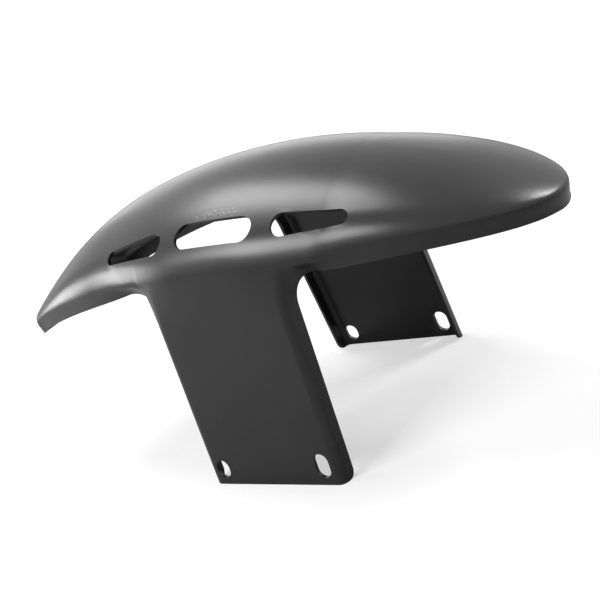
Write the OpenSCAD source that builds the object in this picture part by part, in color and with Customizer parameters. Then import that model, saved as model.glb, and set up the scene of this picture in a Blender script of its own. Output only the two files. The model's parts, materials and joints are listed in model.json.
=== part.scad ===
// Front mudguard of a motorbike, drawn from one sheet: a long crown over the wheel with
// two flanged legs that bolt to the fork. X is forward, Y to the left, Z up the fork.

/* [Crown] */
// outer radius of the crown along its centre line, measured from the wheel axle
crown_r = 371.9; // [360:0.1:385]
// height of the crown's top above the feet of the legs
crown_top = 163; // [155:1:175]
// how far the wheel axle lies behind the middle of the legs
axle_back = 5.1; // [0:0.1:8]
// half width of the crown at its side edges
half_w = 60.3; // [55:0.1:62]
// half width of the crown at its tail
tail_half_w = 46; // [40:0.5:52]
// angle of the cross section's flat top arc, from the centre line to the shoulder
top_arc = 36.1; // [32:0.1:44]
// radius of the rounded shoulder
shoulder_r = 24; // [18:1:26]
// height of the upright rim under the shoulder
rim_h = 8.8; // [8:0.2:13]
// lean of the rim and of the legs, as drawn from the die
draft = 4.8; // [3:0.1:7]
// thickness of the sheet
sheet = 2; // [1.5:0.1:2.5]

/* [Ends] */
// angle of the nose's tip from the top, about the axle
nose_tip = 29.1; // [27:0.1:31]
// squareness of the nose in plan, 2 is an ellipse
nose_shape = 1.92; // [1.8:0.01:3]
// how late the nose flattens towards its tip
nose_late = 1.14; // [1:0.01:2]
// share of the cross section's depth left at the nose
nose_depth = 0.1; // [0.05:0.01:0.4]
// how far the nose's tip curls down below the crown's arc
nose_curl = 1.5; // [0:0.1:8]
// angle of the tail's tip from the top, about the axle
tail_tip = 29.2; // [29.1:0.1:33]
// angle where the tail starts to round in
tail_start = 29; // [24:0.1:29]
// squareness of the tail in plan, 2 is an ellipse
tail_shape = 4.7; // [2:0.1:6]
// how late the tail narrows towards its end
tail_narrows = 2.3; // [1:0.05:3]
// how late the tail flattens towards its end
tail_late = 1.7; // [1:0.05:3]
// share of the cross section's depth left at the tail
tail_depth = 0.22; // [0.2:0.01:0.8]
// how far the tail's tip curls down below the crown's arc
tail_curl = 10.8; // [0:0.2:14]

/* [Legs] */
// distance between the legs' outer faces at their feet
feet_w = 160; // [150:1:170]
// half length of a leg's flat face
face_half = 40.8; // [39:0.1:43]
// outer radius of the roll between a leg's face and its flanges
roll_r = 5; // [4:0.5:6]
// depth of the flanges at the feet, from the leg's face inwards
flange_foot = 8.8; // [6:0.1:10]
// radius of a flange's rounded corner at the foot
foot_corner_r = 4; // [2:0.5:6]
// radius of the round where a leg's top runs into the crown
leg_top_r = 27; // [20:1:30]
// radius of the inside corner between a flange's edge and the rim's edge
corner_r = 20.5; // [14:0.5:24]
// half length of the shoulder that bulges out fully to a leg
bulge_half = 20; // [10:1:30]
// distance from the legs' middle where the shoulder's bulge has faded out
bulge_end = 105; // [90:1:115]

/* [Bolt slots] */
// width of the bolt slots, for M8 bolts
slot_w = 9; // [8.5:0.1:10]
// length of the rear slot over its round ends
rear_slot_len = 11; // [10.5:0.5:14]
// length of the front slot over its round ends
front_slot_len = 14; // [11:0.5:16]
// height of the rear slot's centre above the foot
rear_slot_z = 9.6; // [9:0.1:14]
// height of the front slot's centre above the foot
front_slot_z = 11.4; // [10:0.1:16]
// distance from the rear slot's centre to the rear end of the leg's flat face
rear_slot_edge = 5.2; // [5:0.1:9]
// distance from the front slot's centre to the front end of the leg's flat face
front_slot_edge = 6.4; // [5:0.1:9]

/* [Vents] */
// width of the middle vent across the shoulder
mid_vent_w = 14.6; // [11:0.2:15]
// width of an end vent at its end beside the middle vent
end_vent_wide = 13; // [9:0.2:13.4]
// width of an end vent at its far end
end_vent_narrow = 8.4; // [6:0.2:9]
// length of the middle vent over its round ends
mid_vent_len = 51.6; // [40:0.2:53]
// length of the rear vent
rear_vent_len = 49; // [36:1:51]
// length of the front vent
front_vent_len = 42.2; // [34:0.2:46]
// angle of the middle vent's centre before the top, about the axle
mid_vent_at = 2.2; // [1.6:0.1:2.6]
// angle of the rear vent's centre behind the top
rear_vent_at = 8; // [7.7:0.1:9]
// angle of the front vent's centre before the top
front_vent_at = 11.8; // [11.4:0.1:12.6]
// turn of the rear vent against the side line, narrow end inwards
rear_vent_turn = 4.7; // [0:0.1:8]
// turn of the front vent against the side line, narrow end inwards
front_vent_turn = 10.2; // [6:0.1:12]
// distance of the middle vent's centre from the centre line
mid_vent_y = 59; // [57:0.5:61]
// distance of the rear vent's centre from the centre line
rear_vent_y = 57; // [53:0.5:59]
// distance of the front vent's centre from the centre line
front_vent_y = 52; // [50:0.5:54]
// how far the vents' centres lie below the crown's top line
vent_drop = 21; // [19:0.5:23]
// lean of the vents' walls from the upright, as pierced
pierce = 45; // [35:1:55]

/* [Hidden] */
axle_z = crown_top - crown_r;
lean = tan(draft);
foot_y = feet_w / 2;

// cross section of the crown: top arc, shoulder arc, straight rim
shoulder_end = 90 - draft;
rim_dy = rim_h * sin(draft);
rim_dz = rim_h * cos(draft);
shoulder_w = half_w - rim_dy;
top_r = (shoulder_w - shoulder_r * (cos(draft) - sin(top_arc))) / sin(top_arc);
crown_drop = top_r * (1 - cos(top_arc)) + shoulder_r * (cos(top_arc) - sin(draft));
edge_drop = crown_drop + rim_dz;

// cross section over a leg: a flatter arc of radius over_r, a round, then the leaning face
over_r = 95;
face_unit = 1 / cos(draft);
over_z = crown_top - over_r;
round_y0 = foot_y - leg_top_r * face_unit;
over_a = 1 + lean * lean;
over_b = -2 * (round_y0 * lean + over_z);
over_c = round_y0 * round_y0 + over_z * over_z - (over_r - leg_top_r) * (over_r - leg_top_r);
round_z = (-over_b + sqrt(over_b * over_b - 4 * over_a * over_c)) / (2 * over_a);
round_y = round_y0 - lean * round_z;
over_arc = atan2(round_y, round_z - over_z);

// flange: a roll, then a straight wall that leans by the wall's own draft
ROLL_END = 80;
roll_end_y = roll_r * (1 - cos(ROLL_END));
function flange_y(i, deep) = i <= BEND_N ? roll_r * (1 - cos(ROLL_END * i / BEND_N))
  : roll_end_y + (deep - roll_end_y) * (i - BEND_N) / (ROLL_N - BEND_N);
function flange_x(i, deep) = i <= BEND_N ? roll_r * sin(ROLL_END * i / BEND_N)
  : roll_r * sin(ROLL_END) + (flange_y(i, deep) - roll_end_y) / tan(ROLL_END);

// numbers of mesh steps
TOP_N = 6;
ROUND_N = 7;
RIM_N = 4;
SHOULDER_J = TOP_N + ROUND_N;
EDGE_J = SHOULDER_J + RIM_N;
FACE_N = 5;
BEND_N = 4;
ROLL_N = 6;
CORNER_N = 6;
NOSE_N = 16;
TAIL_SIDE_N = 8;
TAIL_N = 10;
LEG_N = 8;

function mix(a, b, t) = a + (b - a) * t;
function clamp01(t) = max(0, min(1, t));
function smooth(t) = t * t * (3 - 2 * t);

// distance out and drop at step j of a section of two arcs
function arcs_y(j, r1, arc, r2) =
  j <= TOP_N ? r1 * sin(arc * j / TOP_N)
  : (r1 - r2) * sin(arc) + r2 * sin(mix(arc, shoulder_end, min(1, (j - TOP_N) / ROUND_N)));
function arcs_h(j, r1, arc, r2) =
  j <= TOP_N ? r1 * (1 - cos(arc * j / TOP_N))
  : r1 - (r1 - r2) * cos(arc) - r2 * cos(mix(arc, shoulder_end, min(1, (j - TOP_N) / ROUND_N)));
function sec_y(j) = arcs_y(j, top_r, top_arc, shoulder_r) + rim_dy * clamp01((j - SHOULDER_J) / RIM_N);
function sec_h(j) = arcs_h(j, top_r, top_arc, shoulder_r);
function rim_share(j) = clamp01((j - SHOULDER_J) / RIM_N);
function leg_y(j) = arcs_y(j, over_r, over_arc, leg_top_r);
function leg_h(j) = arcs_h(j, over_r, over_arc, leg_top_r);

// the crown narrows and flattens from the legs to its ends
edge_r = crown_r - edge_drop;
// the flange's depth where it meets the rim, and the x of its free edge there; for the depth
// the wall's lean is taken as wall_lean long
wall_lean = 2;
flange_top = foot_y - lean * arc_z(edge_r, face_half + roll_r + wall_lean + corner_r) - half_w;
wall_x = face_half + flange_x(ROLL_N, flange_top);
corner_x = wall_x + corner_r;
front_th = asin((corner_x + axle_back) / edge_r);
rear_th = asin((corner_x - axle_back) / edge_r);
function width_at(th) =
  mix(half_w, tail_half_w, pow(clamp01((-th - rear_th) / (tail_start - rear_th)), tail_narrows));
function nose_part(th) = clamp01((th - front_th) / (nose_tip - front_th));
function tail_part(th) = clamp01((-th - rear_th) / (tail_tip - rear_th));
function depth_at(th) =
  1 - (1 - nose_depth) * pow(nose_part(th), nose_late) - (1 - tail_depth) * pow(tail_part(th), tail_late);
// how late the ends curl down
curl_late = 2.4;
function curl_at(th) = nose_curl * pow(nose_part(th), curl_late) + tail_curl * pow(tail_part(th), curl_late);

function arc_z(r, x) = axle_z + sqrt(r * r - (x + axle_back) * (x + axle_back));
function rim_z(x) = arc_z(edge_r, x);
leg_start_z = rim_z(wall_x) - corner_r;

// share of the leg's shape that the shoulder takes at a distance x from the legs' middle
function bulge(x) = 1 - smooth(clamp01((abs(x) - bulge_half) / (bulge_end - bulge_half)));

// a column over a leg:
// [x on the spine, x at the edge, z at the edge, share of the leg's shape at the edge]
spine_end_f = crown_r * sin(front_th) - axle_back;
spine_end_r = crown_r * sin(rear_th) + axle_back;
spread_n = ROLL_N + CORNER_N;
function leg_cols(spine_end) = [
  for (i = [0:FACE_N]) [face_half * i / FACE_N, face_half * i / FACE_N, leg_start_z, 1],
  for (i = [1:ROLL_N])
    [mix(face_half, spine_end, i / spread_n), face_half + flange_x(i, flange_top),
      leg_start_z, 1 - flange_y(i, flange_top) / flange_top],
  for (i = [1:CORNER_N])
    let (a = 90 * (1 - i / CORNER_N), x = corner_x - corner_r * sin(a))
    [mix(face_half, spine_end, (ROLL_N + i) / spread_n), x, rim_z(x) - corner_r * (1 - cos(a)), 0]
];
front_cols = leg_cols(spine_end_f);
rear_cols = leg_cols(spine_end_r);
COLS_N = len(front_cols);

// a point of a leg column at step j, near side (y is minus)
function leg_col_point(col, dir, j) =
  let (
    g = (sec_h(j) + rim_dz * rim_share(j)) / edge_drop,
    x = dir * mix(col[0], col[1], g),
    t = rim_share(j),
    share = mix(bulge(x), col[3], t),
    j0 = min(j, SHOULDER_J),
    zs0 = arc_z(crown_r - sec_h(j0), x),
    zl0 = arc_z(crown_r - leg_h(j0), x),
    zs = mix(zs0, col[2], t),
    zl = mix(zl0, col[2], t),
    ys = j <= SHOULDER_J ? sec_y(j) : mix(shoulder_w, foot_y - lean * col[2] - flange_top, t),
    yl = j <= SHOULDER_J ? leg_y(j) : mix(leg_y(SHOULDER_J), foot_y - lean * col[2], t)
  )
  [x, -mix(ys, yl, share), mix(zs, zl, share)];

// a point of a plain column: [spine angle, edge angle, half width]
function plain_point(col, j) =
  let (
    th0 = col[0],
    th1 = col[1],
    w = col[2],
    f = sec_y(j) / half_w,
    th = mix(th0, th1, f),
    j0 = min(j, SHOULDER_J),
    share = bulge(crown_r * sin(th) - axle_back) * (1 - rim_share(j)),
    r = crown_r - depth_at(th1) * sec_h(j) - rim_dz * rim_share(j) - curl_at(th)
      - share * (leg_h(j0) - sec_h(j0)),
    y = w * f + share * (leg_y(j0) - sec_y(j0))
  )
  [r * sin(th) - axle_back, -y, axle_z + r * cos(th)];

// columns from the tail's tip along the near side to the nose's tip
tail_cols = [for (i = [0:TAIL_N - 1])
  let (a = 90 * i / TAIL_N, p = 2 / tail_shape)
  [-tail_start, -tail_start - (tail_tip - tail_start) * pow(cos(a), p),
    width_at(-tail_start) * pow(sin(a), p)]];
tail_side = [for (i = [0:TAIL_SIDE_N - 1])
  let (th = -mix(tail_start, rear_th, i / TAIL_SIDE_N)) [th, th, width_at(th)]];
nose_cols = [for (i = [1:NOSE_N])
  let (a = 90 * (1 - i / NOSE_N), p = 2 / nose_shape)
  [front_th, front_th + (nose_tip - front_th) * pow(cos(a), p), half_w * pow(sin(a), p)]];

LEG_FIRST = TAIL_N + TAIL_SIDE_N;
LEG_MID = LEG_FIRST + COLS_N - 1;
LEG_LAST = LEG_MID + COLS_N - 1;
HALF_N = LEG_LAST + NOSE_N;
LOOP_N = 2 * HALF_N;

function near_point(c, j) =
  c < TAIL_N ? plain_point(tail_cols[c], j)
  : c < LEG_FIRST ? plain_point(tail_side[c - TAIL_N], j)
  : c <= LEG_MID ? leg_col_point(rear_cols[LEG_MID - c], -1, j)
  : c <= LEG_LAST ? leg_col_point(front_cols[c - LEG_MID], 1, j)
  : plain_point(nose_cols[c - LEG_LAST - 1], j);

// legs below the crown's rings: columns from roll edge to roll edge
ROLL_FIRST = LEG_MID - FACE_N - ROLL_N;
ROLL_LAST = LEG_MID + FACE_N + ROLL_N;
LEG_W = ROLL_LAST - ROLL_FIRST + 1;
function foot_z(y) =
  let (d = max(0, y - flange_foot + foot_corner_r))
  foot_corner_r - sqrt(foot_corner_r * foot_corner_r - d * d);
function leg_point(c, k) =
  let (
    i = abs(c - LEG_MID) - FACE_N,
    deep = mix(flange_top, flange_foot, k / LEG_N),
    x = i <= 0 ? face_half * (i + FACE_N) / FACE_N : face_half + flange_x(i, deep),
    y = i <= 0 ? 0 : flange_y(i, deep),
    z = mix(leg_start_z, i <= 0 ? 0 : foot_z(flange_y(i, flange_foot)), k / LEG_N)
  )
  [c < LEG_MID ? -x : x, -(foot_y - lean * z - y), z];

near_grid = [for (j = [0:EDGE_J]) [for (c = [0:HALF_N]) near_point(c, j)]];
leg_grid = [for (k = [0:LEG_N]) [for (c = [ROLL_FIRST:ROLL_LAST]) leg_point(c, k)]];

function flip_y(p) = [p[0], -p[1], p[2]];
// a point of the whole crown, where columns past the nose come back along the far side
function crown_point(j, c) =
  let (m = (c + LOOP_N) % LOOP_N)
  m <= HALF_N ? near_grid[j][m] : flip_y(near_grid[j][LOOP_N - m]);

function unit(v) = v / norm(v);
function side_point(j, c) =
  j <= EDGE_J ? crown_point(j, c) : leg_grid[j - EDGE_J][c - ROLL_FIRST];
function last_row(c) = c >= ROLL_FIRST && c <= ROLL_LAST ? EDGE_J + LEG_N : EDGE_J;
function beside(j, c, d) =
  j <= EDGE_J ? side_point(j, c + d) : side_point(j, max(ROLL_FIRST, min(ROLL_LAST, c + d)));
// outward direction at a point of the near side
function normal_at(j, c) =
  let (
    along = beside(j, c, 1) - beside(j, c, -1),
    down = side_point(min(j + 1, last_row(c)), c) - side_point(max(j - 1, 0), c)
  )
  unit(cross(down, along));
function spine_normal(p) = unit([p[0] + axle_back, 0, p[2] - axle_z]);
function inner_point(j, c) =
  let (p = side_point(j, c))
  j == 0 ? p - sheet * spine_normal(p)
  : let (q = p - sheet * normal_at(j, c)) [q[0], c == 0 || c == HALF_N ? 0 : q[1], q[2]];

inner_grid = [for (j = [0:EDGE_J]) [for (c = [0:HALF_N]) inner_point(j, c)]];
inner_leg = [for (k = [0:LEG_N]) [for (c = [ROLL_FIRST:ROLL_LAST])
  let (q = inner_point(EDGE_J + k, c)) [q[0], q[1], k == LEG_N ? leg_grid[k][c - ROLL_FIRST][2] : q[2]]]];

// one shared list of points: spine, rings, near leg rows, far leg rows, then the same inside
SPINE_N = LEG_LAST - TAIL_N + 1;
function spine_of(c) =
  let (m = c % LOOP_N, h = m <= HALF_N ? m : LOOP_N - m)
  max(0, min(SPINE_N - 1, h - TAIL_N));
RING_AT = SPINE_N;
NEAR_AT = RING_AT + EDGE_J * LOOP_N;
FAR_AT = NEAR_AT + LEG_N * LEG_W;
SKIN_N = FAR_AT + LEG_N * LEG_W;

function loop_points(grid, j) = [
  for (c = [0:LOOP_N - 1]) c <= HALF_N ? grid[j][c] : flip_y(grid[j][LOOP_N - c])
];
function skin_points(grid, leg) = [
  for (s = [0:SPINE_N - 1]) grid[0][s + TAIL_N],
  for (j = [1:EDGE_J]) each loop_points(grid, j),
  for (k = [1:LEG_N]) each leg[k],
  for (k = [1:LEG_N]) each [for (p = leg[k]) flip_y(p)]
];

function ring_id(j, c) = j == 0 ? spine_of(c) : RING_AT + (j - 1) * LOOP_N + c % LOOP_N;
// leg rows: row 0 is the crown's last ring; the far leg's columns run backwards round the loop
function near_id(k, i) = k == 0 ? ring_id(EDGE_J, ROLL_FIRST + i) : NEAR_AT + (k - 1) * LEG_W + i;
function far_id(k, i) = k == 0 ? ring_id(EDGE_J, LOOP_N - ROLL_FIRST - i) : FAR_AT + (k - 1) * LEG_W + i;

// the quad a b c d as two triangles, turned over for the inner skin, without empty ones
function two(q, over, odd) =
  let (
    t = odd ? [[q[0], q[1], q[2]], [q[0], q[2], q[3]]] : [[q[0], q[1], q[3]], [q[1], q[2], q[3]]]
  )
  [for (f = t) if (f[0] != f[1] && f[1] != f[2] && f[0] != f[2]) over ? [f[2], f[1], f[0]] : f];
function shift(q, n) = [for (i = q) i + n];
function skin_faces(n, over) = [
  for (j = [0:EDGE_J - 1], c = [0:LOOP_N - 1])
    each two(shift([ring_id(j, c), ring_id(j, c + 1), ring_id(j + 1, c + 1), ring_id(j + 1, c)], n), over,
      c < LEG_MID || (c >= HALF_N && c < LOOP_N - LEG_MID)),
  for (k = [0:LEG_N - 1], i = [0:LEG_W - 2])
    each two(shift([near_id(k, i), near_id(k, i + 1), near_id(k + 1, i + 1), near_id(k + 1, i)], n), over,
      true),
  for (k = [0:LEG_N - 1], i = [0:LEG_W - 2])
    each two(shift([far_id(k, i + 1), far_id(k, i), far_id(k + 1, i), far_id(k + 1, i + 1)], n), over, true)
];
// the free edge, once round
near_rim = [
  for (k = [1:LEG_N]) near_id(k, 0),
  for (i = [1:LEG_W - 1]) near_id(LEG_N, i),
  for (k = [1:LEG_N]) near_id(LEG_N - k, LEG_W - 1)
];
far_rim = [
  for (k = [1:LEG_N]) far_id(k, LEG_W - 1),
  for (i = [1:LEG_W - 1]) far_id(LEG_N, LEG_W - 1 - i),
  for (k = [1:LEG_N]) far_id(LEG_N - k, 0)
];
rim = [
  for (c = [0:ROLL_FIRST]) ring_id(EDGE_J, c),
  each near_rim,
  for (c = [ROLL_LAST + 1:LOOP_N - ROLL_LAST]) ring_id(EDGE_J, c),
  each far_rim,
  for (c = [LOOP_N - ROLL_FIRST + 1:LOOP_N - 1]) ring_id(EDGE_J, c)
];
RIM_LEN = len(rim);
function rim_faces() = [
  for (i = [0:RIM_LEN - 1])
    let (a = rim[i], b = rim[(i + 1) % RIM_LEN])
    each two([a, b, b + SKIN_N, a + SKIN_N], false, true)
];

module sheet_shell() {
  polyhedron(
    points = concat(skin_points(near_grid, leg_grid), skin_points(inner_grid, inner_leg)),
    faces = concat(skin_faces(0, false), skin_faces(SKIN_N, true), rim_faces())
  );
}

// the origin is under the middle of the whole length
xs = [for (row = near_grid) each [for (p = row) p[0]]];
mid_x = (max(xs) + min(xs)) / 2;

// how far the slots and vents are cut beyond the sheet
CUT = 12;
BOLT_FN = 48;
VENT_FN = 48;

// an upright bolt slot through both legs
module bolt_slot(x, z, len) {
  straight = (len - slot_w) / 2;
  translate([x, 0, z])
    rotate([90, 0, 0]) {
      for (d = [-straight, straight]) {
        translate([0, d, 0])
          cylinder(d = slot_w, h = feet_w + CUT, center = true, $fn = BOLT_FN);
      }
      cube([slot_w, 2 * straight, feet_w + CUT], center = true);
    }
}

// outline of a slot with round ends, start_w wide at its rear end and end_w at its front end
module tapered_slot(len, start_w, end_w) {
  r0 = start_w / 2;
  r1 = end_w / 2;
  half = (len - r0 - r1) / 2;
  // direction from a centre to the tangent point of the side
  tangent_x = (r0 - r1) / (2 * half);
  tangent_y = sqrt(1 - tangent_x * tangent_x);
  translate([-half, 0])
    circle(r = r0, $fn = VENT_FN);
  translate([half, 0])
    circle(r = r1, $fn = VENT_FN);
  polygon([
    [r0 * tangent_x - half, -r0 * tangent_y],
    [r1 * tangent_x + half, -r1 * tangent_y],
    [r1 * tangent_x + half, r1 * tangent_y],
    [r0 * tangent_x - half, r0 * tangent_y]
  ]);
}

// a vent on the left, at an angle about the axle, pierced across the shoulder
module vent(at, y, turn, len, start_w, end_w) {
  rotate([0, at, 0])
    translate([0, y, crown_r - vent_drop])
      rotate([-pierce, 0, 0])
        rotate(turn)
          linear_extrude(2 * CUT, center = true)
            tapered_slot(len, start_w, end_w);
}

module left_vents() {
  translate([-axle_back, 0, axle_z]) {
    vent(-rear_vent_at, rear_vent_y, rear_vent_turn, rear_vent_len, end_vent_narrow, end_vent_wide);
    vent(mid_vent_at, mid_vent_y, 0, mid_vent_len, mid_vent_w, mid_vent_w);
    vent(front_vent_at, front_vent_y, -front_vent_turn, front_vent_len, end_vent_wide, end_vent_narrow);
  }
}

module mudguard() {
  color([0.09, 0.09, 0.095])
    translate([-mid_x, 0, 0])
      difference() {
        sheet_shell();
        bolt_slot(rear_slot_edge - face_half, rear_slot_z, rear_slot_len);
        bolt_slot(face_half - front_slot_edge, front_slot_z, front_slot_len);
        left_vents();
        mirror([0, 1, 0])
          left_vents();
      }
}

mudguard();
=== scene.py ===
# %% [markdown]
# # Front mudguard of a motorcycle
#
# The real piece is one sheet of steel, pressed in a die: a long crown over the tyre, a leg on
# each side that bolts to the fork, and three vents pierced through each shoulder. It was then
# powder coated in satin black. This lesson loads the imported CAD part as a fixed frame, models
# the pressed sheet again as one smooth surface in the same place, coats it, and lights it as
# a small studio does.

# %% Load the frame
import json
import math

import bmesh
import bpy
from mathutils import Matrix, Vector

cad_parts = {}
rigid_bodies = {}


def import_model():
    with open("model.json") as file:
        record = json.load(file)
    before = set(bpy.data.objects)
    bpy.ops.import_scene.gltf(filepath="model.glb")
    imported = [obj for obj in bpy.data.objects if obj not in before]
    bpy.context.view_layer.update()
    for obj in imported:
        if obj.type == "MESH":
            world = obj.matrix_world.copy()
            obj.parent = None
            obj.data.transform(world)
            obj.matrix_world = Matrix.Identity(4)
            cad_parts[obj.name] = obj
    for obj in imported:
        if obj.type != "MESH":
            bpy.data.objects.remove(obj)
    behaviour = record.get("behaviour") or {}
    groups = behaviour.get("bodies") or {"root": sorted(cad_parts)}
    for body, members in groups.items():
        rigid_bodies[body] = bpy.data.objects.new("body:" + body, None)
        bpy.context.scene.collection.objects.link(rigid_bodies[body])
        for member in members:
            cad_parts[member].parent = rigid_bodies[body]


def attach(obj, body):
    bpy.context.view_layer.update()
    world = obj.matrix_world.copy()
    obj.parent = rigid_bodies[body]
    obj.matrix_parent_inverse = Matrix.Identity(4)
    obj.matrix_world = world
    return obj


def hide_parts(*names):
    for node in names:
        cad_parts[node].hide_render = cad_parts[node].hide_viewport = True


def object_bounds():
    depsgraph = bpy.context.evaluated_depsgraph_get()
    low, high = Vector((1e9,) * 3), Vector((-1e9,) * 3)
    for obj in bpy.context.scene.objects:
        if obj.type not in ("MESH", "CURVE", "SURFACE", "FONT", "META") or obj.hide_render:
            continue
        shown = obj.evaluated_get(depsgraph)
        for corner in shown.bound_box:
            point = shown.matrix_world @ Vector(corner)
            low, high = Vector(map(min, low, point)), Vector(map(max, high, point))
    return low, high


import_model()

cad_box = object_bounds()
MM = 0.001
print("CAD box in mm:", [[round(v / MM, 1) for v in corner] for corner in cad_box])

# %% [markdown]
# ## Sizes of the pressing
#
# A press tool maker works from a few sizes: the radius of the crown over the wheel, the cross
# section with its shoulder, how the two ends round in, and the legs with their flanges. They
# are in millimetres and degrees, and are the same ones that the CAD part is made from. All
# angles run about the wheel's axle, from the top of the crown.

# %% Sizes
# The crown's arc about the axle, its top over the feet, and the axle's place behind the legs.
CROWN_R, CROWN_TOP, AXLE_BACK = 371.9, 163.0, 5.1
HALF_W, TAIL_HALF_W = 60.3, 46.0
# Cross section: angle of the flat arc, shoulder, rim, lean of rim and legs, thickness.
TOP_ARC, SHOULDER_R, RIM_H, DRAFT, SHEET = 36.1, 24.0, 8.8, 4.8, 2.0
# Ends: angles of the tips, shape of the outline, how late the section flattens and how far.
NOSE_TIP, NOSE_SHAPE, NOSE_LATE, NOSE_DEPTH, NOSE_CURL = 29.1, 1.92, 1.14, 0.1, 1.5
TAIL_TIP, TAIL_START, TAIL_SHAPE, TAIL_NARROWS, TAIL_LATE = 29.2, 29.0, 4.7, 2.3, 1.7
TAIL_DEPTH, TAIL_CURL, CURL_LATE = 0.22, 10.8, 2.4
# Legs: width over the feet, half the flat face, roll and depth of the flanges, their corners.
FEET_W, FACE_HALF, ROLL_R, FLANGE_FOOT, FOOT_CORNER_R = 160.0, 40.8, 5.0, 8.8, 4.0
LEG_TOP_R, CORNER_R, OVER_R, WALL_LEAN = 27.0, 20.5, 95.0, 2.0
BULGE_HALF, BULGE_END = 20.0, 105.0  # the swell over a leg is full up to the one, gone at the other
# Bolt slots, then the vents' depth below the crown's circle and the angle of their punch.
SLOT_W, SLOT_STEP, SLOT_BACK = 9.0, 70.0, 0.6
VENT_DROP, PIERCE = 21.0, 45.0


def sin_d(a):
    return math.sin(math.radians(a))


def cos_d(a):
    return math.cos(math.radians(a))


def asin_d(v):
    return math.degrees(math.asin(v))


def mix(a, b, t):
    return a + (b - a) * t


def clamp01(t):
    return max(0.0, min(1.0, t))


def smooth(t):
    return t * t * (3 - 2 * t)


# %% [markdown]
# ## Cross sections
#
# Across the bike the crown is a flat arc, a tighter shoulder arc and a short upright rim.
# Over a leg the same steps make a wider arc that rolls over into the leg's leaning face. The
# step j runs from the centre line (0) to the rim's edge, and may be a fraction, so that the
# same rule gives a coarse or a fine net.

# %% Sections
TOP_N, ROUND_N, RIM_N = 6, 7, 4  # steps on the flat arc, round the shoulder and down the rim
SHOULDER_J = TOP_N + ROUND_N
EDGE_J = SHOULDER_J + RIM_N
AXLE_Z = CROWN_TOP - CROWN_R
LEAN = math.tan(math.radians(DRAFT))
FOOT_Y = FEET_W / 2
SHOULDER_END = 90 - DRAFT
RIM_DY, RIM_DZ = RIM_H * sin_d(DRAFT), RIM_H * cos_d(DRAFT)
SHOULDER_W = HALF_W - RIM_DY
TOP_R = (SHOULDER_W - SHOULDER_R * (cos_d(DRAFT) - sin_d(TOP_ARC))) / sin_d(TOP_ARC)
EDGE_DROP = TOP_R * (1 - cos_d(TOP_ARC)) + SHOULDER_R * (cos_d(TOP_ARC) - sin_d(DRAFT)) + RIM_DZ
EDGE_R = CROWN_R - EDGE_DROP

# The rounding above a leg touches the leaning face and the wide arc over the leg. Its centre
# is where a line beside the face meets a circle about the wide arc's centre.
over_z = CROWN_TOP - OVER_R
round_y0 = FOOT_Y - LEG_TOP_R / cos_d(DRAFT)
qa = 1 + LEAN * LEAN
qb = -2 * (round_y0 * LEAN + over_z)
qc = round_y0 ** 2 + over_z ** 2 - (OVER_R - LEG_TOP_R) ** 2
round_z = (-qb + math.sqrt(qb * qb - 4 * qa * qc)) / (2 * qa)
OVER_ARC = math.degrees(math.atan2(round_y0 - LEAN * round_z, round_z - over_z))
print("crown arc %.1f mm, drop to the rim's edge %.1f mm" % (TOP_R, EDGE_DROP))

# %% [markdown]
# ## One rule for both sections
#
# The crown's section and the one over a leg are the same kind of line: a wide arc from the
# centre line, a tight one round the shoulder, and the rim below it. So one pair of rules gives
# the way outwards (y) and the drop below the top, and is used with either pair of radii.

# %% Rules of a section

def arcs_y(j, r1, arc, r2):
    if j <= TOP_N:
        return r1 * sin_d(arc * j / TOP_N)
    return (r1 - r2) * sin_d(arc) + r2 * sin_d(mix(arc, SHOULDER_END, min(1, (j - TOP_N) / ROUND_N)))


def arcs_drop(j, r1, arc, r2):
    if j <= TOP_N:
        return r1 * (1 - cos_d(arc * j / TOP_N))
    turned = mix(arc, SHOULDER_END, min(1, (j - TOP_N) / ROUND_N))
    return r1 - (r1 - r2) * cos_d(arc) - r2 * cos_d(turned)


def rim_share(j):
    return clamp01((j - SHOULDER_J) / RIM_N)


def crown_y(j):
    return arcs_y(j, TOP_R, TOP_ARC, SHOULDER_R) + RIM_DY * rim_share(j)


def crown_drop(j):
    return arcs_drop(j, TOP_R, TOP_ARC, SHOULDER_R)


def leg_y(j):
    return arcs_y(j, OVER_R, OVER_ARC, LEG_TOP_R)


def leg_drop(j):
    return arcs_drop(j, OVER_R, OVER_ARC, LEG_TOP_R)


print("half width: crown %.1f mm, over a leg %.1f mm" % (crown_y(EDGE_J), leg_y(EDGE_J)))

# %% [markdown]
# ## Flanges and inside corners
#
# The front and rear edges of a leg are rolled outwards, which keeps the thin sheet from
# bending. The roll is an arc that ends in a short straight flange. At the top the flange runs
# round an inside corner into the crown's rim, so its depth there follows from where the leg's
# face and the rim lie. The two angles say where the corners end on the rim's circle.

# %% Flanges
# Columns on half the face, on the roll, on all of the flange and on the inside corner.
FACE_N, BEND_N, ROLL_N, CORNER_N = 5, 4, 6, 6
ROLL_END = 80.0
roll_end_y = ROLL_R * (1 - cos_d(ROLL_END))


def flange_y(i, deep):
    if i <= BEND_N:
        return ROLL_R * (1 - cos_d(ROLL_END * i / BEND_N))
    return roll_end_y + (deep - roll_end_y) * (i - BEND_N) / (ROLL_N - BEND_N)


def flange_x(i, deep):
    if i <= BEND_N:
        return ROLL_R * sin_d(ROLL_END * i / BEND_N)
    return ROLL_R * sin_d(ROLL_END) + (flange_y(i, deep) - roll_end_y) / math.tan(math.radians(ROLL_END))


def arc_z(r, x):
    return AXLE_Z + math.sqrt(r * r - (x + AXLE_BACK) ** 2)


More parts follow.
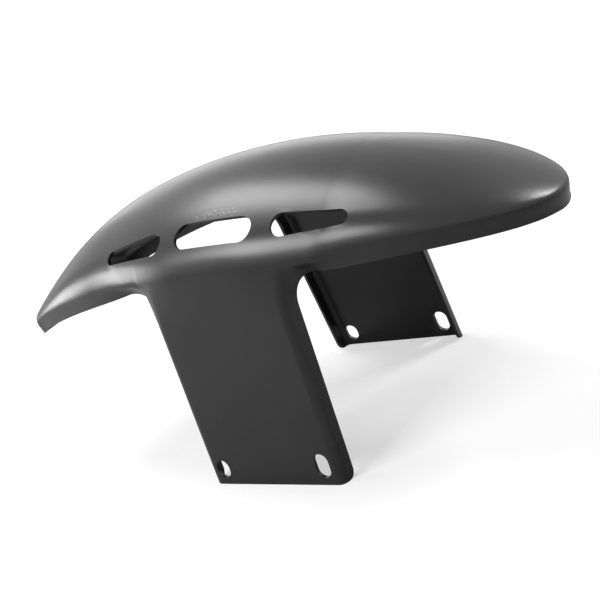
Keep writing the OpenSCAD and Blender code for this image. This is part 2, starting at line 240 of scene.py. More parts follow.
FLANGE_TOP = FOOT_Y - LEAN * arc_z(EDGE_R, FACE_HALF + ROLL_R + WALL_LEAN + CORNER_R) - HALF_W
WALL_X = FACE_HALF + flange_x(ROLL_N, FLANGE_TOP)
CORNER_X = WALL_X + CORNER_R
FRONT_TH = asin_d((CORNER_X + AXLE_BACK) / EDGE_R)
REAR_TH = asin_d((CORNER_X - AXLE_BACK) / EDGE_R)
LEG_START_Z = arc_z(EDGE_R, WALL_X) - CORNER_R
print("the flange is %.1f mm deep at its top, the corners end at x = %.1f mm" % (FLANGE_TOP, CORNER_X))

# %% [markdown]
# ## How the section changes along the crown
#
# The shoulder swells softly over the legs, as sheet does where it is drawn outwards. Towards
# the tail the crown grows narrower, and towards both ends its section flattens while its line
# curls down off the wheel's circle. The swell fades out evenly. Each of the others is a share
# from 0 to 1, raised to a power that says how late it sets in.

# %% Swell, width and ends


def bulge(x):
    return 1 - smooth(clamp01((abs(x) - BULGE_HALF) / (BULGE_END - BULGE_HALF)))


def width_at(th):
    return mix(HALF_W, TAIL_HALF_W, clamp01((-th - REAR_TH) / (TAIL_START - REAR_TH)) ** TAIL_NARROWS)


def nose_part(th):
    return clamp01((th - FRONT_TH) / (NOSE_TIP - FRONT_TH))


def tail_part(th):
    return clamp01((-th - REAR_TH) / (TAIL_TIP - REAR_TH))


def depth_at(th):
    nose_loss = (1 - NOSE_DEPTH) * nose_part(th) ** NOSE_LATE
    tail_loss = (1 - TAIL_DEPTH) * tail_part(th) ** TAIL_LATE
    return 1 - nose_loss - tail_loss


def curl_at(th):
    return NOSE_CURL * nose_part(th) ** CURL_LATE + TAIL_CURL * tail_part(th) ** CURL_LATE


print("section depth left at the tail's start: %.0f %%" % (100 * depth_at(-TAIL_START)))

# %% [markdown]
# ## Columns over a leg
#
# A column is a line of the net from the centre line to the edge. Over a leg the columns gather
# towards the leg's face, its rolled edge and the inside corner. Each one starts on the centre
# line, runs out over the crown, and turns from the crown's section into the leg's as the swell
# asks. Beside the legs a point only needs its angle, its width and its step.

# %% Columns


def leg_column(i, way):
    """One column over a leg: x on the centre line, x and z at the edge, share of the leg's face."""
    spine_end = CROWN_R * sin_d(FRONT_TH if way > 0 else REAR_TH) - way * AXLE_BACK
    if i <= FACE_N:
        x = FACE_HALF * i / FACE_N
        return x, x, LEG_START_Z, 1.0
    k = i - FACE_N
    spine_x = mix(FACE_HALF, spine_end, k / (ROLL_N + CORNER_N))
    if k <= ROLL_N:
        return (spine_x, FACE_HALF + flange_x(k, FLANGE_TOP), LEG_START_Z,
                1 - flange_y(k, FLANGE_TOP) / FLANGE_TOP)
    a = 90 * (1 - (k - ROLL_N) / CORNER_N)
    x = CORNER_X - CORNER_R * sin_d(a)
    return spine_x, x, arc_z(EDGE_R, way * x) - CORNER_R * (1 - cos_d(a)), 0.0


def leg_column_point(column, way, j):
    """Step j of a leg's column; way is 1 for the columns in front and -1 for those behind."""
    spine_x, edge_x, edge_z, leg_part = column
    t = rim_share(j)
    x = way * mix(spine_x, edge_x, (crown_drop(j) + RIM_DZ * t) / EDGE_DROP)
    share = mix(bulge(x), leg_part, t)
    j0 = min(j, SHOULDER_J)
    z_crown = mix(arc_z(CROWN_R - crown_drop(j0), x), edge_z, t)
    z_leg = mix(arc_z(CROWN_R - leg_drop(j0), x), edge_z, t)
    face_y = FOOT_Y - LEAN * edge_z
    y_crown = crown_y(j) if j <= SHOULDER_J else mix(SHOULDER_W, face_y - FLANGE_TOP, t)
    y_leg = leg_y(j) if j <= SHOULDER_J else mix(leg_y(SHOULDER_J), face_y, t)
    return x, -mix(y_crown, y_leg, share), mix(z_crown, z_leg, share)


def plain_point(th0, th1, w, j):
    """A point beside the legs: th0 on the centre line, th1 and half width w at the edge."""
    f = crown_y(j) / HALF_W
    th = mix(th0, th1, f)
    j0 = min(j, SHOULDER_J)
    share = bulge(CROWN_R * sin_d(th) - AXLE_BACK) * (1 - rim_share(j))
    r = (CROWN_R - depth_at(th1) * crown_drop(j) - RIM_DZ * rim_share(j) - curl_at(th)
         - share * (leg_drop(j0) - crown_drop(j0)))
    y = w * f + share * (leg_y(j0) - crown_y(j0))
    return r * sin_d(th) - AXLE_BACK, -y, AXLE_Z + r * cos_d(th)


print("columns over half a leg:", FACE_N + ROLL_N + CORNER_N)

# %% [markdown]
# ## The whole right half
#
# The columns are numbered from the tail's tip to the nose's tip. At both ends they fan out
# along a rounded outline, a superellipse, which is squarer than a circle at the tail and nearly
# one at the nose. The leg below hangs from the same columns. All points together give the
# length, and the frame's origin lies in the middle of it.

# %% Crown and leg
NOSE_N, TAIL_SIDE_N, TAIL_N, LEG_N = 16, 8, 10, 8  # columns of nose, tail's side and tip, rows of a leg
LEG_COLS = FACE_N + ROLL_N + CORNER_N
LEG_FIRST = TAIL_N + TAIL_SIDE_N
LEG_MID = LEG_FIRST + LEG_COLS
LEG_LAST = LEG_MID + LEG_COLS
HALF_N = LEG_LAST + NOSE_N


def crown_point(c, j):
    """A point of the right half: column c from the tail's tip to the nose's tip, step j outwards."""
    if c < TAIL_N:
        a = 90 * c / TAIL_N
        p = 2 / TAIL_SHAPE
        th = -TAIL_START - (TAIL_TIP - TAIL_START) * max(0, cos_d(a)) ** p
        return plain_point(-TAIL_START, th, TAIL_HALF_W * sin_d(a) ** p, j)
    if c < LEG_FIRST:
        th = -mix(TAIL_START, REAR_TH, (c - TAIL_N) / TAIL_SIDE_N)
        return plain_point(th, th, width_at(th), j)
    if c <= LEG_MID:
        return leg_column_point(leg_column(LEG_MID - c, -1), -1, j)
    if c <= LEG_LAST:
        return leg_column_point(leg_column(c - LEG_MID, 1), 1, j)
    a = 90 * (1 - (c - LEG_LAST) / NOSE_N)
    p = 2 / NOSE_SHAPE
    th = FRONT_TH + (NOSE_TIP - FRONT_TH) * max(0, cos_d(a)) ** p
    return plain_point(FRONT_TH, th, HALF_W * max(0, sin_d(a)) ** p, j)


def foot_z(y):
    d = max(0, y - FLANGE_FOOT + FOOT_CORNER_R)
    return FOOT_CORNER_R - math.sqrt(max(0, FOOT_CORNER_R ** 2 - d * d))


def leg_point(c, k):
    """A point of the right leg: column c counted from the leg's middle, row k from its top."""
    i = abs(c) - FACE_N
    deep = mix(FLANGE_TOP, FLANGE_FOOT, k / LEG_N)
    x = FACE_HALF * (i + FACE_N) / FACE_N if i <= 0 else FACE_HALF + flange_x(i, deep)
    y = 0 if i <= 0 else flange_y(i, deep)
    z = mix(LEG_START_Z, 0 if i <= 0 else foot_z(flange_y(i, FLANGE_FOOT)), k / LEG_N)
    return (-x if c < 0 else x), -(FOOT_Y - LEAN * z - y), z


net = [crown_point(c, j) for c in range(HALF_N + 1) for j in range(EDGE_J + 1)]
MID_X = (max(p[0] for p in net) + min(p[0] for p in net)) / 2
print("the frame's origin lies %.2f mm from the legs' middle" % MID_X)

# %% [markdown]
# ## Laying a grid on the form
#
# By hand one would lay a plane with many divisions over the form and pull each corner down on
# it. The same is done here: Blender's grid primitive gives the net of quads, and every vertex
# is then put in its place on the surface. The crown's right half and the right leg are two
# grids that share their seam, so they are joined and their doubles are merged.

# %% Grids
FINE = 3  # columns and steps of the shown net for one of the CAD part's
low, high = cad_box


def deselect_all():
    for thing in bpy.context.view_layer.objects.selected[:]:
        thing.select_set(False)


def within(v, axis):
    return max(low[axis], min(high[axis], v))


def lay_grid(name, across, along, place):
    """A grid of across by along quads, each vertex moved to place(column, row), in mm."""
    deselect_all()
    bpy.ops.mesh.primitive_grid_add(x_subdivisions=across, y_subdivisions=along, size=2)
    piece = bpy.context.object
    piece.name = name
    for v in piece.data.vertices:
        column = round((v.co.x + 1) / 2 * across)
        row = round((v.co.y + 1) / 2 * along)
        x, y, z = place(column, row)
        v.co = (within((x - MID_X) * MM, 0), within(y * MM, 1), within(z * MM, 2))
    return piece


print("each step of the CAD part's net is cut into", FINE)

# %% [markdown]
# ## The soft fold at the tail
#
# The tail's end is a short lip that is bent down over a soft edge. A quarter turn from the
# crown's run to the cut edge gives that edge a real radius. The corners draw in a little on the
# way, and the lip flares back slightly at its cut, as pressed sheet does.

# %% Tail
FOLD_COLS = 7
FOLD_TH = mix(TAIL_START, REAR_TH, 1 / FINE / TAIL_SIDE_N)  # the angle at which the fold starts
FOLD_CORNER = 0.06  # share of the width that the corners lose
TAIL_FLARE = 0.3  # degrees that the lip flares at its cut


def fold_point(t, j):
    """A point of the tail's end: t runs from the crown (0) over a soft fold to the cut edge (1)."""
    f = crown_y(j) / HALF_W
    along, down = sin_d(90 * t), 1 - cos_d(90 * t)
    top = CROWN_R - depth_at(-FOLD_TH) * crown_drop(j) - RIM_DZ * rim_share(j) - curl_at(-FOLD_TH)
    cut = CROWN_R - depth_at(-TAIL_TIP) * crown_drop(EDGE_J) - RIM_DZ - curl_at(-TAIL_TIP)
    th, r = -mix(FOLD_TH, TAIL_TIP + TAIL_FLARE * t ** 3, along), mix(top, cut, down)
    y = width_at(-FOLD_TH) * f * (1 - FOLD_CORNER * down * f ** 6)
    return r * sin_d(th) - AXLE_BACK, -y, AXLE_Z + r * cos_d(th)


print("the tail's cut edge stands at z = %.1f mm on the centre line" % fold_point(1, 0)[2])

# %% [markdown]
# ## The nose without a pole
#
# If all columns of the nose met in one point, the smooth shading would pinch there. So each
# column leaves the centre line a little further out than the one before. For that the same
# surface is asked the other way round: from the place of a point in the outline to the column
# and the step that lead there.

# %% Nose
NOSE_START = 0.35  # how far along the nose the last column leaves the centre line
NOSE_REACH = 0.27  # degrees that the edge reaches past the crown's own tip
ON_CENTRE = 1e-6  # share of the half width below which a point is on the centre line
HALVINGS = 30  # times that the range of steps is halved


def step_at(f):
    """The step across the crown at which the share f of the half width is reached."""
    near, far = 0.0, float(EDGE_J)
    for _ in range(HALVINGS):
        middle = (near + far) / 2
        if crown_y(middle) / HALF_W < f:
            near = middle
        else:
            far = middle
    return (near + far) / 2


def nose_point(c, j):
    """A point of the nose, whose columns leave the centre line one after the other."""
    along, f = (c - LEG_LAST) / NOSE_N, crown_y(j) / HALF_W
    a, power = 90 * (1 - along), 2 / NOSE_SHAPE
    x = max(0.0, cos_d(a)) ** power * f + NOSE_START * along * (1 - f) ** 2
    y = max(0.0, sin_d(a)) ** power * f
    share = (x ** NOSE_SHAPE + y ** NOSE_SHAPE) ** (1 / NOSE_SHAPE)
    a = math.atan2(y ** (NOSE_SHAPE / 2), x ** (NOSE_SHAPE / 2))
    th = FRONT_TH + (NOSE_TIP + NOSE_REACH * f - FRONT_TH) * max(0.0, math.cos(a)) ** power
    place = plain_point(FRONT_TH, th, HALF_W * max(0.0, math.sin(a)) ** power, step_at(share))
    return place if y > ON_CENTRE else (place[0], 0.0, place[2])


print("the nose's edge reaches x = %.1f mm" % (nose_point(HALF_N, EDGE_J)[0] - MID_X))

# %% [markdown]
# ## Crown and leg become one sheet
#
# Now both grids are laid and joined. They share the seam at the leg's top, point for point, so
# merging the doubles makes one skin of them.

# %% Sheet
LEG_ROWS = 48


def crown_net(column, row):
    if column < FOLD_COLS:
        return fold_point(1 - column / FOLD_COLS, row / FINE)
    c = TAIL_N + (column - FOLD_COLS + 1) / FINE
    return crown_point(c, row / FINE) if c <= LEG_LAST else nose_point(c, row / FINE)


crown = lay_grid("crown_half", (HALF_N - TAIL_N) * FINE + FOLD_COLS - 1, EDGE_J * FINE, crown_net)
leg_half_cols = (FACE_N + ROLL_N) * FINE
leg = lay_grid("leg_half", 2 * leg_half_cols, LEG_ROWS,
               lambda c, r: leg_point((c - leg_half_cols) / FINE, r * LEG_N / LEG_ROWS))
deselect_all()
leg.select_set(True)
crown.select_set(True)
bpy.context.view_layer.objects.active = crown
bpy.ops.object.join()
sheet = bpy.context.object
sheet.name = "mudguard_sheet"
sheet.data.name = "mudguard_sheet"
print("crown and leg before merging:", len(sheet.data.polygons), "faces")

# %% [markdown]
# ## Merging, picking and smoothing
#
# Three tools are used from here on: one merges the doubles and turns the normals, one picks
# parts of the sheet in edit mode by their place, and one smooths the picked points. The free
# edges are left alone, because they are the cut outline.

# %% Tools for the sheet
SEAM_GAP = 0.2  # mm within which points of the crown and the leg are one


def tidy_skin(threshold):
    """Merges points closer than threshold (mm) and turns all normals the same way."""
    bpy.ops.object.mode_set(mode="EDIT")
    bpy.ops.mesh.select_mode(type="VERT")
    bpy.ops.mesh.select_all(action="SELECT")
    bpy.ops.mesh.remove_doubles(threshold=threshold * MM)
    bpy.ops.mesh.normals_make_consistent(inside=False)
    bpy.ops.object.mode_set(mode="OBJECT")


def pick(kind, parts, chosen):
    """Opens the sheet in edit mode and selects those of its verts, edges or faces that are chosen."""
    bpy.ops.object.mode_set(mode="EDIT")
    bpy.ops.mesh.select_mode(type=kind)
    bpy.ops.mesh.select_all(action="DESELECT")
    bm = bmesh.from_edit_mesh(sheet.data)
    for part in getattr(bm, parts):
        part.select_set(chosen(part))
    bmesh.update_edit_mesh(sheet.data)
    return bm


def relax(chosen, times):
    """Smooths the inner points that chosen(x, y, z in mm) picks; the free edge stays."""
    bm = pick("VERT", "verts", lambda v: not v.is_boundary and chosen(*(v.co / MM)))
    count = sum(v.select for v in bm.verts)
    bpy.ops.mesh.vertices_smooth(factor=0.5, repeat=times)
    bpy.ops.object.mode_set(mode="OBJECT")
    return count


tidy_skin(SEAM_GAP)
print("right half:", len(sheet.data.polygons), "faces")

# %% [markdown]
# ## Piercing the slots and vents
#
# A punch goes through the sheet along a straight line, so an opening is a flat outline with
# round ends, thrown onto the sheet along the punch. A window a little larger than the punch is
# cleared from the net, the outline is laid in it as a circle whose points are moved into place,
# and the strip between the two is filled while it is held flat under the punch.

# %% Outline of a punch
SPACING = 1.3  # mm between two points of an outline


def turn_about(axis, degrees):
    return Matrix.Rotation(math.radians(degrees), 4, axis)


def slot_outline(half, r0, r1):
    """Points round a slot with its centres at -half (radius r0) and half (radius r1)."""
    tilt = math.asin((r0 - r1) / (2 * half))
    turn = math.pi / 2 - tilt
    points = []
    for centre, r, a0, a1 in ((half, r1, -turn, turn), (-half, r0, turn, 2 * math.pi - turn)):
        steps = max(6, round(r * (a1 - a0) / SPACING))
        for i in range(steps + 1):
            a = mix(a0, a1, i / steps)
            points.append((centre + r * math.cos(a), r * math.sin(a)))
        (x0, y0), other = points[-1], (-half if centre > 0 else half, r0 if centre > 0 else r1)
        side = 1 if centre > 0 else -1
        x1, y1 = other[0] + other[1] * math.sin(tilt), side * other[1] * math.cos(tilt)
        steps = round(math.hypot(x1 - x0, y1 - y0) / SPACING)
        points += [(mix(x0, x1, i / steps), mix(y0, y1, i / steps)) for i in range(1, steps)]
    return points


print("a bolt slot's outline has", len(slot_outline(1, SLOT_W / 2, SLOT_W / 2)), "points")

# %% Punch
CLEARED = 0.9  # mm of net that is cleared round an outline
REACH = 6.0  # mm round an outline in which a free edge belongs to its window
PUNCH_UP = 30.0  # mm above the sheet at which the punch starts
WALL_NEAR = 20.0  # mm along the punch; what lies further off is another wall
FAR_OFF = 99.0  # mm that a point of another wall is given, so that it is never picked
FLAT_TURN = 17  # degrees, so that no edge of the flat strip lies square for the fill


def pierce_sheet(place, length, w0, w1):
    """Opens the sheet inside a slot outline; place turns the punch's frame (mm) into the sheet's."""
    r0, r1 = w0 / 2, w1 / 2
    half = (length - r0 - r1) / 2
    way = (place.to_3x3() @ Vector((0, 0, -1))).normalized()
    ring = []
    for u, w in slot_outline(half, r0, r1):
        hit, point, _, _ = sheet.ray_cast(place @ Vector((u, w, PUNCH_UP)) * MM, way)
        assert hit
        ring.append(point)
    back = place.inverted()

    def beyond(v):
        p = back @ (v.co / MM)
        t = clamp01((p.x / half + 1) / 2)
        outside = math.hypot(p.x - mix(-half, half, t), p.y) - mix(r0, r1, t)
        return outside if abs(p.z) < WALL_NEAR else FAR_OFF

    deselect_all()
    bpy.ops.mesh.primitive_circle_add(vertices=len(ring), radius=1)
    circle = bpy.context.object
    for v, point in zip(circle.data.vertices, ring):
        v.co = point
    sheet.select_set(True)
    bpy.context.view_layer.objects.active = sheet
    pick("FACE", "faces", lambda face: min(beyond(v) for v in face.verts) < CLEARED)
    bpy.ops.mesh.delete(type="FACE")
    bpy.ops.object.mode_set(mode="OBJECT")
    bpy.ops.object.join()
    bm = pick("EDGE", "edges", lambda edge: edge.is_wire or (
        edge.is_boundary and max(beyond(v) for v in edge.verts) < REACH))
    bm.verts.ensure_lookup_table()
    strip = {v.index: v.co.copy() for v in bm.verts if v.select}
    for index in strip:
        flat = turn_about("Z", FLAT_TURN) @ back @ (bm.verts[index].co / MM)
        bm.verts[index].co = (flat.x * MM, flat.y * MM, 0)
    bmesh.update_edit_mesh(sheet.data)
    bpy.ops.mesh.fill(use_beauty=True)
    bm = bmesh.from_edit_mesh(sheet.data)
    bm.verts.ensure_lookup_table()
    for index, point in strip.items():
        bm.verts[index].co = point
    bmesh.update_edit_mesh(sheet.data)
    bpy.ops.object.mode_set(mode="OBJECT")
    bpy.context.view_layer.update()
    return len(ring)


# %% [markdown]
# ## Where the openings go
#
# The bolt slots stand in the leg's face, a short one behind and a longer one in front. The
# vents are placed as the crown runs, by an angle about the axle and a distance from the centre
# line, and the punch leans outwards. The end vents taper: they are wide beside the middle one,
# and narrow towards the ends of the mudguard.

# %% Openings
BOLT_SLOTS = ((9.6, 11.0, -1), (11.4, 14.0, 1))  # height, length, behind (-1) or in front (1)
# For each vent: angle about the axle, distance from the centre line, turn, length, two widths.
VENTS = ((-8.0, 57.0, 4.7, 49.0, 8.4, 13.0), (2.2, 59.0, 0.0, 51.6, 14.6, 14.6),
         (11.8, 52.0, -10.2, 42.2, 13.0, 8.4))

for z, length, side in BOLT_SLOTS:
    x = -SLOT_BACK + side * SLOT_STEP / 2 - MID_X
    place = Matrix.Translation((x, -FOOT_Y, z)) @ turn_about("X", 90) @ turn_about("Z", 90)
    print("bolt slot of", length, "mm:", pierce_sheet(place, length, SLOT_W, SLOT_W), "points")

for at, y, turn, length, w0, w1 in VENTS:
    place = (Matrix.Scale(-1, 4, (0, 1, 0)) @ Matrix.Translation((-AXLE_BACK - MID_X, 0, AXLE_Z))
             @ turn_about("Y", at) @ Matrix.Translation((0, y, CROWN_R - VENT_DROP))
             @ turn_about("X", -PIERCE) @ turn_about("Z", turn))
    print("vent of", length, "mm:", pierce_sheet(place, length, w0, w1), "points")

# %% [markdown]
# ## The other half, the thickness and the edges
#
# The two halves are mirror images. The corners under the shoulder and the nose are smoothed
# next. On the nose each pass starts a little further out than the last one, so the smoothing
# grows towards the tip and leaves no step where it begins. Then the sheet gets its thickness,
# inwards from the outer skin, and the coating rounds each cut edge a little.

# %% Mirror and smoothing
MIRROR_GAP, HALF_GAP = 0.05, 0.02  # mm within which points of the two halves are one
CORNER_FROM, CORNER_TO, CORNER_BELOW = 46, 88, 132  # mm: reach in x and height of the corners
NOSE_FROM, NOSE_STOP, NOSE_STEP = 76, 172, 4  # mm in x: where the passes start
TIP_FROM = 150  # mm in x: a pass that starts past it smooths more often
CORNER_TIMES, NOSE_TIMES, TIP_TIMES = 12, 2, 5

deselect_all()
sheet.select_set(True)
bpy.context.view_layer.objects.active = sheet
bpy.ops.object.shade_smooth()


def apply(kind, name, **settings):
    modifier = sheet.modifiers.new(name, kind)
    for key, value in settings.items():
        setattr(modifier, key, value)
    bpy.ops.object.modifier_apply(modifier=modifier.name)
    print(name, "->", len(sheet.data.polygons), "faces")


def in_corner(x, y, z):
    return CORNER_FROM < abs(x) < CORNER_TO and z < CORNER_BELOW


apply("MIRROR", "left half", use_axis=(False, True, False), merge_threshold=MIRROR_GAP * MM)
tidy_skin(HALF_GAP)
print("corners under the shoulder:", relax(in_corner, CORNER_TIMES), "points relaxed")
for start in range(NOSE_FROM, NOSE_STOP, NOSE_STEP):
    relaxed = relax(lambda x, y, z: x > start, NOSE_TIMES if start < TIP_FROM else TIP_TIMES)
print("last pass on the nose:", relaxed, "points relaxed")

# %% Thickness and edges
COAT_R, EDGE_ANGLE = 0.5, 65  # mm that the coat rounds, degrees from which an edge counts as cut

highest = max(sheet.data.polygons, key=lambda p: p.center.z)
if highest.normal.z < 0:
    sheet.data.flip_normals()
apply("SOLIDIFY", "thickness", thickness=SHEET * MM, offset=-1, use_even_offset=False,
      use_quality_normals=True)
apply("BEVEL", "coated edges", width=COAT_R * MM, segments=3, limit_method="ANGLE",
      angle_limit=math.radians(EDGE_ANGLE), harden_normals=True)
# Rounding an edge can push a point a hair past the CAD part, so all are held inside its box.
for v in sheet.data.vertices:
    v.co = [within(v.co[axis], axis) for axis in range(3)]

# %% [markdown]
# ## Colours, nodes and pattern sizes
#
# A colour is written as the hex code that a picture editor shows, and Blender's shaders work
# with linear light, so one function turns the one into the other. Another adds a node with its
# settings and links. A third turns a real size into the scale of a noise pattern.

# %% Tools for materials


def linear(code):
    """The scene's linear colour of an sRGB hex code."""
    parts = [int(code[i:i + 2], 16) / 255 for i in (1, 3, 5)]
    return [c / 12.92 if c <= 0.04045 else ((c + 0.055) / 1.055) ** 2.4 for c in parts] + [1.0]


def add(tree, kind, settings=None, *outputs, **links):
    """Adds a node with its settings, and links outputs to its inputs in their order or by name."""
    node = tree.nodes.new(kind)
    for key, value in (settings or {}).items():
        if hasattr(node, key):
            setattr(node, key, value)
        else:
            node.inputs[key].default_value = value
    for place, output in enumerate(outputs):
        tree.links.new(output, node.inputs[place])
    for key, output in links.items():
        tree.links.new(output, node.inputs[key.replace("_", " ")])
    return node


def waves(count, length):
    """The scale of a noise pattern with so many waves on a length in mm."""
    return count / (length * MM)


print("black of the coat in linear light:", [round(c, 4) for c in linear("#111113")])

# %% [markdown]
# ## Satin black powder coat
#
# Powder is sprayed on the steel and baked, so the colour is even and the surface has a fine
# orange peel, with waves about a millimetre apart. The eye sees broad soft highlights and no
# mirror image. The colour and the gloss drift a little over a few centimetres, because the coat
# is never quite even. Above the right middle vent it is scuffed: a short band of fine light
# scratches, where the powder is rubbed dull. A scratch is drawn coarser than a real one, as
# wide as it needs to be to show.

# %% Coat
SCUFF_PLACE, SCUFF_SIZE = (12, -50, 149), (30, 4.2, 20)  # mm: middle and half lengths of the band
PEEL_DEPTH = 0.06  # mm

coat = bpy.data.materials.new("satin_black_powder_coat")
coat.use_nodes = True
tree = coat.node_tree
skin = tree.nodes["Principled BSDF"]
where = add(tree, "ShaderNodeTexCoord").outputs["Object"]
peel = add(tree, "ShaderNodeTexNoise", {"Scale": waves(9, 10), "Detail": 2.0}, Vector=where)
# The drift of colour and gloss, over about 3 cm.
clouds = add(tree, "ShaderNodeTexNoise", {"Scale": waves(7, 200), "Detail": 3.0}, Vector=where)
even = add(tree, "ShaderNodeMapRange", {"From Min": 0.2, "From Max": 0.8, "To Max": 0.5},
           Value=clouds.outputs["Fac"])
# Only the crests of a fine pattern count as scratches, and only inside the scuffed band.
scratch = add(tree, "ShaderNodeTexNoise", {"Scale": waves(11, 10), "Detail": 4.0}, Vector=where)
rubbed = add(tree, "ShaderNodeMapRange", {"From Min": 0.50, "From Max": 0.60, "To Max": 0.5},
             Value=scratch.outputs["Fac"])
spot = add(tree, "ShaderNodeMapping", {
    "vector_type": "TEXTURE", "Location": [v * MM for v in SCUFF_PLACE],
    "Scale": [v * MM for v in SCUFF_SIZE]}, Vector=where)
off = add(tree, "ShaderNodeVectorMath", {"operation": "LENGTH"}, Vector=spot.outputs["Vector"])
near = add(tree, "ShaderNodeMapRange", {"From Min": 1.0, "From Max": 0.3}, Value=off.outputs["Value"])
scuff = add(tree, "ShaderNodeMath", {"operation": "MULTIPLY"},
            rubbed.outputs["Result"], near.outputs["Result"])
# The state of the coat runs from even black (0) over its drift (0.5) to a bare scratch (1).
state = add(tree, "ShaderNodeMath", {"operation": "ADD"},
            even.outputs["Result"], scuff.outputs["Value"])
tone = add(tree, "ShaderNodeValToRGB", None, Fac=state.outputs["Value"])
tone.color_ramp.elements[0].color = linear("#111113")
tone.color_ramp.elements[1].color = linear("#a4a4a6")
tone.color_ramp.elements.new(0.5).color = linear("#151517")
rough = add(tree, "ShaderNodeMapRange", {"To Min": 0.27, "To Max": 0.37}, Value=state.outputs["Value"])
bump = add(tree, "ShaderNodeBump", {"Strength": 0.25, "Distance": PEEL_DEPTH * MM},
           Height=peel.outputs["Fac"])
tree.links.new(tone.outputs["Color"], skin.inputs["Base Color"])
tree.links.new(rough.outputs["Result"], skin.inputs["Roughness"])
tree.links.new(bump.outputs["Normal"], skin.inputs["Normal"])
skin.inputs["IOR"].default_value = 1.5
sheet.data.materials.clear()
sheet.data.materials.append(coat)
print(coat.name, "has", len(tree.nodes), "nodes")

# %% [markdown]
# ## Studio floor
#
# The floor is a sheet of matt light grey paper under the feet, and it takes the soft shadow.
# Further off it is lifted to white, so that it runs into the white room without a line. The
# lift is a glow that only the camera's rays meet. It puts no light on the mudguard, and the
# coat mirrors the paper's own grey.

# %% Floor
FLOOR_SIZE = 12.0  # m
LIFT_NEAR, LIFT_FAR = (0.3, 0.52), (2.5, 1.0)  # m from the middle, and the glow there

deselect_all()
bpy.ops.mesh.primitive_plane_add(size=FLOOR_SIZE, location=(0, 0, 0))
floor = bpy.context.object
floor.name = "studio_floor"
paper = bpy.data.materials.new("pale_studio_paper")
paper.use_nodes = True
tree = paper.node_tree
matt = tree.nodes["Principled BSDF"]
where = add(tree, "ShaderNodeTexCoord").outputs["Object"]
grain = add(tree, "ShaderNodeTexNoise", {"Scale": waves(12, 1000), "Detail": 2.0}, Vector=where)
tone = add(tree, "ShaderNodeValToRGB", None, Fac=grain.outputs["Fac"])
tone.color_ramp.elements[0].color = linear("#bcbcbc")
tone.color_ramp.elements[1].color = linear("#c0c0c0")
tree.links.new(tone.outputs["Color"], matt.inputs["Base Color"])
for socket, value in (("Roughness", 0.9), ("Specular IOR Level", 0.1),
                      ("Emission Color", linear("#ffffff"))):
    matt.inputs[socket].default_value = value
away = add(tree, "ShaderNodeVectorMath", {"operation": "LENGTH"}, Vector=where)
lift = add(tree, "ShaderNodeMapRange", {
    "From Min": LIFT_NEAR[0], "From Max": LIFT_FAR[0], "To Min": LIFT_NEAR[1], "To Max": LIFT_FAR[1]},
    Value=away.outputs["Value"])
seen = add(tree, "ShaderNodeLightPath").outputs["Is Camera Ray"]
shown = add(tree, "ShaderNodeMath", {"operation": "MULTIPLY"}, lift.outputs["Result"], seen)
tree.links.new(shown.outputs["Value"], matt.inputs["Emission Strength"])
floor.data.materials.append(paper)
print(paper.name, "has", len(tree.nodes), "nodes")

# %% [markdown]
# ## Five soft lamps
#
# A black coat shows its lamps more than its own colour. So each lamp stands where the sheet
# mirrors it to the camera: one above the crown, one in front to the left, which draws the long
# highlight along the shoulder, one low at the left for the tail, one past the nose for its tip,
# and a weak wide one behind that lights the outline. The camera doesn't see the lamps
# themselves.

# %% Lamps
AIM = Vector((0.0, 0.0, 0.11))  # the point that all lamps face, under the middle of the crown
# For each lamp: its name, the way to it from AIM, distance, width and height in m, watts.
LAMPS = (("above", (-0.40, 0.14, 0.90), 1.3, (0.36, 0.86), 9.0),
         ("front_left", (-0.36, -0.76, 0.54), 1.3, (0.80, 0.50), 14.0),
         ("left_low", (-0.94, -0.30, 0.10), 1.3, (0.50, 0.42), 6.0),
         ("nose", (0.58, 0.55, 0.60), 1.3, (0.38, 0.38), 8.5),
         ("back", (-0.58, 0.80, 0.22), 1.6, (1.30, 0.50), 2.2))


def soft_lamp(name, way, distance, size, watts):
    """A soft lamp with a straight-sided face that stands from AIM along way and faces it."""
    deselect_all()
    bpy.ops.object.light_add(type="AREA", location=AIM + Vector(way).normalized() * distance)
    lamp = bpy.context.object
    lamp.name = name
    lamp.data.shape = "RECTANGLE"
    lamp.data.size, lamp.data.size_y = size
    lamp.data.energy = watts
    lamp.rotation_euler = Vector(way).to_track_quat("Z", "Y").to_euler()
    lamp.visible_camera = False
    print("lamp", name, "at", [round(v, 2) for v in lamp.location], "m,", watts, "W")


for lamp_row in LAMPS:
    soft_lamp(*lamp_row)

# %% [markdown]
# ## The room around
#
# A photograph for a shop has a white ground. A white room would light the black coat from all
# sides and take its depth away, so the room is white only where it is seen, also in a
# reflection, and gives little light itself.

# %% Room
ROOM_LIGHT, ROOM_SEEN = 0.15, 1.0  # strength of the room as a light, and as it is seen


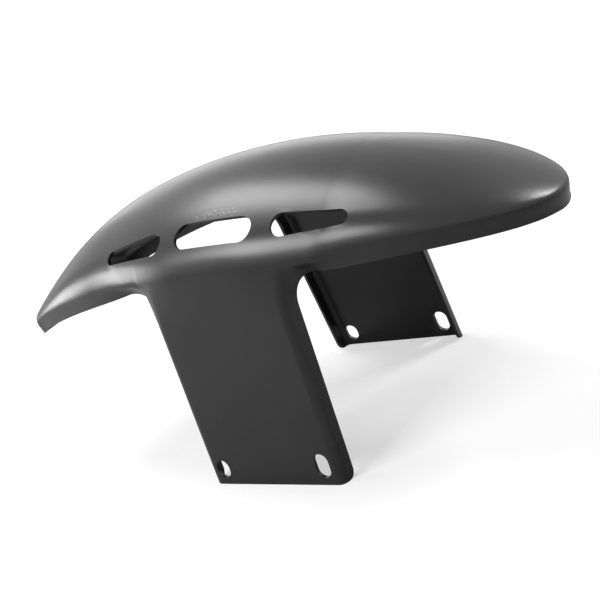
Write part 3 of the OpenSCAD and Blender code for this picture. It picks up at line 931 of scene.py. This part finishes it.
def background_rays(tree):
    """1 for the rays that show the background: seen by the camera, in a reflection or through glass."""
    rays = add(tree, "ShaderNodeLightPath").outputs
    either = add(tree, "ShaderNodeMath", {"operation": "MAXIMUM"},
                 rays["Is Camera Ray"], rays["Is Glossy Ray"])
    any_of = add(tree, "ShaderNodeMath", {"operation": "MAXIMUM"},
                 either.outputs["Value"], rays["Is Transmission Ray"])
    return any_of.outputs["Value"]


world = bpy.data.worlds.new("studio_room")
bpy.context.scene.world = world
world.use_nodes = True
tree = world.node_tree
room = tree.nodes["Background"]
level = add(tree, "ShaderNodeMapRange", {"To Min": ROOM_LIGHT, "To Max": ROOM_SEEN},
            Value=background_rays(tree))
tree.links.new(level.outputs["Result"], room.inputs["Strength"])
room.inputs["Color"].default_value = linear("#ffffff")
print(world.name, "has", len(tree.nodes), "nodes")

# %% [markdown]
# ## Camera
#
# The camera stands where the photograph was taken from: to the right and in front of the
# mudguard, a little above it and close, and turned on its own axis. The view is plain, without
# the contrast curve of a film.

# %% Camera
SENSOR, LENS = 36.0, 61.42  # mm
CAMERA_PLACE = Vector((361.84, -432.162, 263.001))  # mm
AZIMUTH, ELEVATION, ROLL = 39.844, 18.743, -22.251  # degrees

camera_data = bpy.data.cameras.new("photo_camera")
camera = bpy.data.objects.new("photo_camera", camera_data)
bpy.context.collection.objects.link(camera)
camera_data.sensor_width = SENSOR
camera_data.lens = LENS
camera.location = CAMERA_PLACE * MM
camera.rotation_euler = (turn_about("Z", AZIMUTH) @ turn_about("X", 90 - ELEVATION)
                         @ turn_about("Z", ROLL)).to_euler()
camera_data.clip_start = 0.01
bpy.context.scene.camera = camera
bpy.context.scene.view_settings.view_transform = "Standard"
print("the camera is %.0f mm from the frame's origin" % CAMERA_PLACE.length)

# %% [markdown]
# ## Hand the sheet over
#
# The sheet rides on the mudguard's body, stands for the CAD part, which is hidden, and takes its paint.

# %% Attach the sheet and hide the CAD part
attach(sheet, "root")
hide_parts("mudguard")
